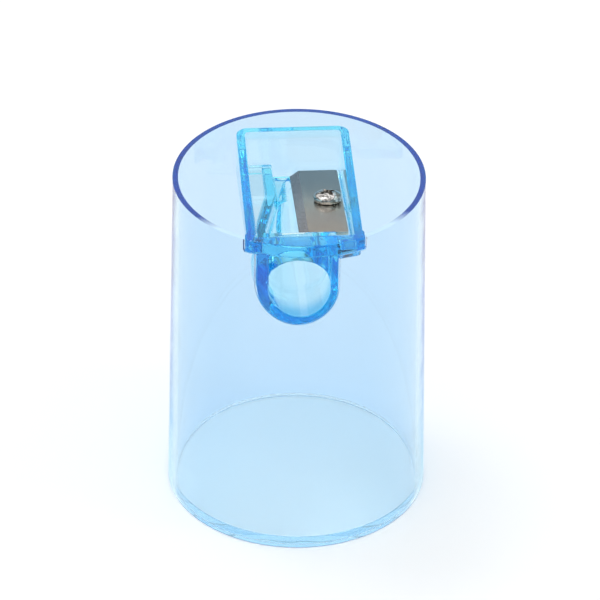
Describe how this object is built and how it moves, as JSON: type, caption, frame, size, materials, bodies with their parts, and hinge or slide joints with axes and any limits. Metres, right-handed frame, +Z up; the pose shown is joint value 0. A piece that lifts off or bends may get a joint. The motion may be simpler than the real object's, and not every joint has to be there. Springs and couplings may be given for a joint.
{
  "type": "pencil sharpener",
  "caption": "Pencil sharpener with a see-through round shavings container; the lift-out sharpening body hangs in a notch in its rim and carries a screwed-on steel blade.",
  "frame": {"origin": "centre of the container's underside", "axes": "+Z up along the container's axis; the pencil goes in from the front, along +Y; +X is to the right as seen from the front"},
  "size_m": [0.0432, 0.0432, 0.059],
  "materials": {
    "container_plastic": "clear, lightly tinted blue, glossy",
    "body_plastic": "clear, tinted blue, glossy",
    "blade_steel": "rolled and ground, satin",
    "screw_steel": "nickel plated, bright"
  },
  "bodies": {
    "container_body": {"container": "container_plastic", "base_disc": "container_plastic"},
    "sharpener": {"sharpener_body": "body_plastic"},
    "blade": {"blade": "blade_steel"},
    "screw": {"blade_screw": "screw_steel"}
  },
  "joints": [
    {"name": "body_lift", "type": "slide", "parent": "container_body", "child": "sharpener", "axis": [0, 0, 1], "range_m": [0, 0.022]},
    {"name": "blade_lift", "type": "slide", "parent": "sharpener", "child": "blade", "axis": [0, 0.1822, 0.9833], "range_m": [0, 0.00363]},
    {"name": "screw_turn", "type": "hinge", "parent": "blade", "child": "screw", "pos_m": [0.0047, 0.00037, 0.05392], "axis": [0, 0.1822, 0.9833], "range_deg": [0, 2610.1]}
  ],
  "couplings": [
    {"joint": "screw_turn", "follows": "blade_lift", "rad_per_m": 12566}
  ]
}
